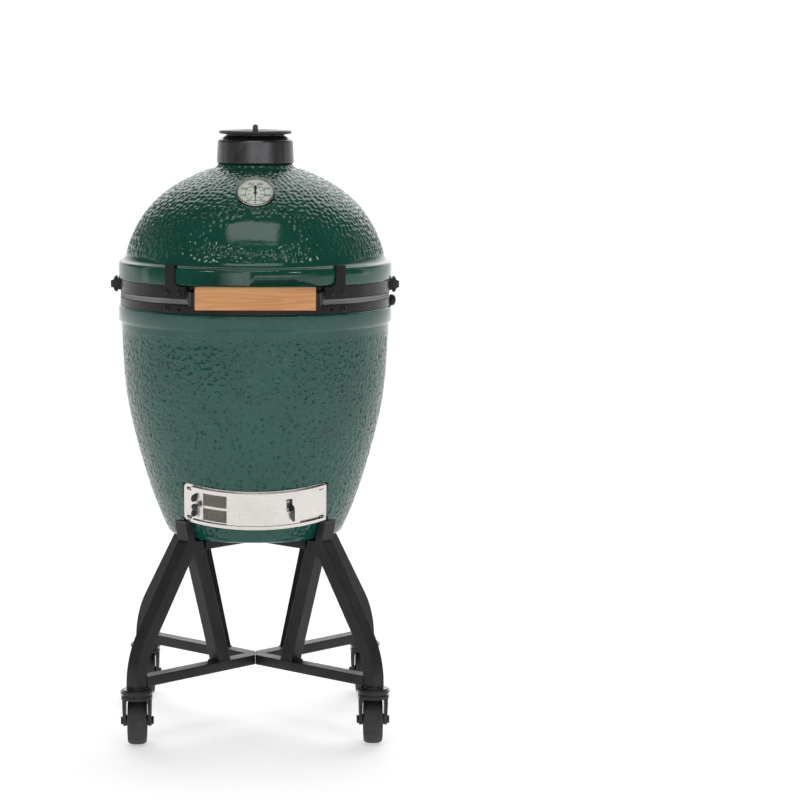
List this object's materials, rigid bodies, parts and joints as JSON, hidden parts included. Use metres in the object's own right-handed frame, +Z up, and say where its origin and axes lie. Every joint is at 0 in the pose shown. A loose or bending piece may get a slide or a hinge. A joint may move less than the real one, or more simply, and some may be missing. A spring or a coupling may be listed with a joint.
{
  "type": "kamado ceramic grill",
  "caption": "Egg-shaped ceramic charcoal grill with hinged dome, chimney damper, draft door and a wheeled steel stand.",
  "frame": {"origin": "centre of the footprint on the floor, under the egg's axis", "axes": "+Z up, -Y towards the front, where the handle and draft door are, +X to the viewer's right"},
  "size_m": [0.582, 0.65, 1.223],
  "materials": {
    "green_glaze": "glossy dimpled glaze",
    "fireclay": "unglazed cordierite",
    "cast_iron": "raw cast iron",
    "grid_steel": "electropolished wire",
    "felt": "dense grey felt",
    "band_black": "satin black powder coat",
    "black_fastener": "black oxide",
    "spring_steel": "oiled spring steel",
    "wood": "oiled light hardwood",
    "cap_metal": "satin dark grey metallic",
    "cap_black": "satin black",
    "bezel_steel": "polished stainless",
    "dial_white": "white enamel with grey scale",
    "needle_black": "black enamel",
    "dial_glass": "clear",
    "stainless": "brushed stainless",
    "mesh_steel": "woven stainless mesh",
    "stand_grey": "charcoal powder coat",
    "cap_plastic": "black moulded plastic",
    "caster_black": "gloss black plating",
    "wheel_core": "moulded grey nylon",
    "tyre_rubber": "soft dark grey rubber"
  },
  "bodies": {
    "root": {"base_bars": "stand_grey", "base_gasket": "felt", "caster_races": "caster_black", "ceramic_base": "green_glaze", "cradle_caps": "cap_plastic", "draft_frame": "stainless", "draft_frame_screws": "stainless", "fire_box": "fireclay", "fire_grate": "cast_iron", "fire_ring": "fireclay", "front_strap": "band_black", "hinge_pin": "spring_steel", "hinge_springs": "spring_steel", "inner_struts": "stand_grey", "leg_front_left": "stand_grey", "leg_front_right": "stand_grey", "leg_rear_left": "stand_grey", "leg_rear_right": "stand_grey", "lower_band": "band_black", "lower_band_bolts": "black_fastener", "lower_hinge_bracket": "band_black", "stand_bolts": "black_fastener", "top_bars": "stand_grey"},
    "dome": {"ceramic_dome": "green_glaze", "dome_gasket": "felt", "upper_band_front": "band_black", "upper_band_rear": "band_black", "dome_fasteners": "black_fastener", "hook_bracket_left": "band_black", "hook_bracket_right": "band_black", "wood_handle": "wood", "upper_hinge_bracket": "band_black", "cap_body": "cap_metal", "cap_pivot_pin": "spring_steel", "thermometer_case": "bezel_steel", "thermometer_dial": "dial_white", "thermometer_glass": "dial_glass"},
    "needle": {"thermometer_needle": "needle_black"},
    "vent_plate": {"vent_plate": "cap_black"},
    "damper": {"damper_disc": "cap_black"},
    "cooking_grid": {"cooking_grid": "grid_steel"},
    "draft_door": {"solid_slider": "stainless"},
    "draft_screen": {"screen_slider": "stainless", "screen_mesh": "mesh_steel"},
    "caster_rear_right": {"caster_fork_rear_right": "caster_black"},
    "wheel_rear_right": {"wheel_core_rear_right": "wheel_core", "tyre_rear_right": "tyre_rubber"},
    "brake_rear_right": {"brake_pedal_rear_right": "caster_black"},
    "caster_rear_left": {"caster_fork_rear_left": "caster_black"},
    "wheel_rear_left": {"wheel_core_rear_left": "wheel_core", "tyre_rear_left": "tyre_rubber"},
    "brake_rear_left": {"brake_pedal_rear_left": "caster_black"},
    "caster_front_left": {"caster_fork_front_left": "caster_black"},
    "wheel_front_left": {"wheel_core_front_left": "wheel_core", "tyre_front_left": "tyre_rubber"},
    "brake_front_left": {"brake_pedal_front_left": "caster_black"},
    "caster_front_right": {"caster_fork_front_right": "caster_black"},
    "wheel_front_right": {"wheel_core_front_right": "wheel_core", "tyre_front_right": "tyre_rubber"},
    "brake_front_right": {"brake_pedal_front_right": "caster_black"}
  },
  "joints": [
    {"name": "dome_hinge", "type": "hinge", "parent": "root", "child": "dome", "pos_m": [0, 0.297, 0.8824], "axis": [-1, 0, 0], "range_deg": [0, 70]},
    {"name": "vent_swing", "type": "hinge", "parent": "dome", "child": "vent_plate", "pos_m": [-0.038, 0.038, 1.2], "axis": [0, 0, 1], "range_deg": [0, 75]},
    {"name": "damper_turn", "type": "hinge", "parent": "vent_plate", "child": "damper", "pos_m": [0, 0, 1.205], "axis": [0, 0, 1], "range_deg": [0, 30]},
    {"name": "needle_turn", "type": "hinge", "parent": "dome", "child": "needle", "pos_m": [0, -0.181, 1.096], "axis": [0, -0.7193, 0.6947], "range_deg": [-290, 0]},
    {"name": "grid_lift", "type": "slide", "parent": "root", "child": "cooking_grid", "axis": [0, 0, 1], "range_m": [0, 0.09]},
    {"name": "draft_door_slide", "type": "hinge", "parent": "root", "child": "draft_door", "pos_m": [0, -0.01125, 0.51361], "axis": [0, -0.225, 0.9744], "range_deg": [-13.3, 15]},
    {"name": "draft_screen_slide", "type": "hinge", "parent": "root", "child": "draft_screen", "pos_m": [0, -0.01125, 0.51361], "axis": [0, -0.225, 0.9744], "range_deg": [0, 12.5]},
    {"name": "swivel_rear_right", "type": "hinge", "parent": "root", "child": "caster_rear_right", "pos_m": [0.23363, 0.23363, 0.104], "axis": [0, 0, 1], "continuous": true},
    {"name": "roll_rear_right", "type": "hinge", "parent": "caster_rear_right", "child": "wheel_rear_right", "pos_m": [0.23363, 0.26163, 0.048], "axis": [1, 0, 0], "continuous": true},
    {"name": "brake_rear_right_press", "type": "hinge", "parent": "caster_rear_right", "child": "brake_rear_right", "pos_m": [0.23363, 0.27963, 0.098], "axis": [1, 0, 0], "range_deg": [-16, 0]},
    {"name": "swivel_rear_left", "type": "hinge", "parent": "root", "child": "caster_rear_left", "pos_m": [-0.23363, 0.23363, 0.104], "axis": [0, 0, 1], "continuous": true},
    {"name": "roll_rear_left", "type": "hinge", "parent": "caster_rear_left", "child": "wheel_rear_left", "pos_m": [-0.23363, 0.26163, 0.048], "axis": [1, 0, 0], "continuous": true},
    {"name": "brake_rear_left_press", "type": "hinge", "parent": "caster_rear_left", "child": "brake_rear_left", "pos_m": [-0.23363, 0.27963, 0.098], "axis": [1, 0, 0], "range_deg": [-16, 0]},
    {"name": "swivel_front_left", "type": "hinge", "parent": "root", "child": "caster_front_left", "pos_m": [-0.23363, -0.23363, 0.104], "axis": [0, 0, 1], "continuous": true},
    {"name": "roll_front_left", "type": "hinge", "parent": "caster_front_left", "child": "wheel_front_left", "pos_m": [-0.23363, -0.20563, 0.048], "axis": [1, 0, 0], "continuous": true},
    {"name": "brake_front_left_press", "type": "hinge", "parent": "caster_front_left", "child": "brake_front_left", "pos_m": [-0.23363, -0.18763, 0.098], "axis": [1, 0, 0], "range_deg": [-16, 0]},
    {"name": "swivel_front_right", "type": "hinge", "parent": "root", "child": "caster_front_right", "pos_m": [0.23363, -0.23363, 0.104], "axis": [0, 0, 1], "continuous": true},
    {"name": "roll_front_right", "type": "hinge", "parent": "caster_front_right", "child": "wheel_front_right", "pos_m": [0.23363, -0.20563, 0.048], "axis": [1, 0, 0], "continuous": true},
    {"name": "brake_front_right_press", "type": "hinge", "parent": "caster_front_right", "child": "brake_front_right", "pos_m": [0.23363, -0.18763, 0.098], "axis": [1, 0, 0], "range_deg": [-16, 0]}
  ]
}
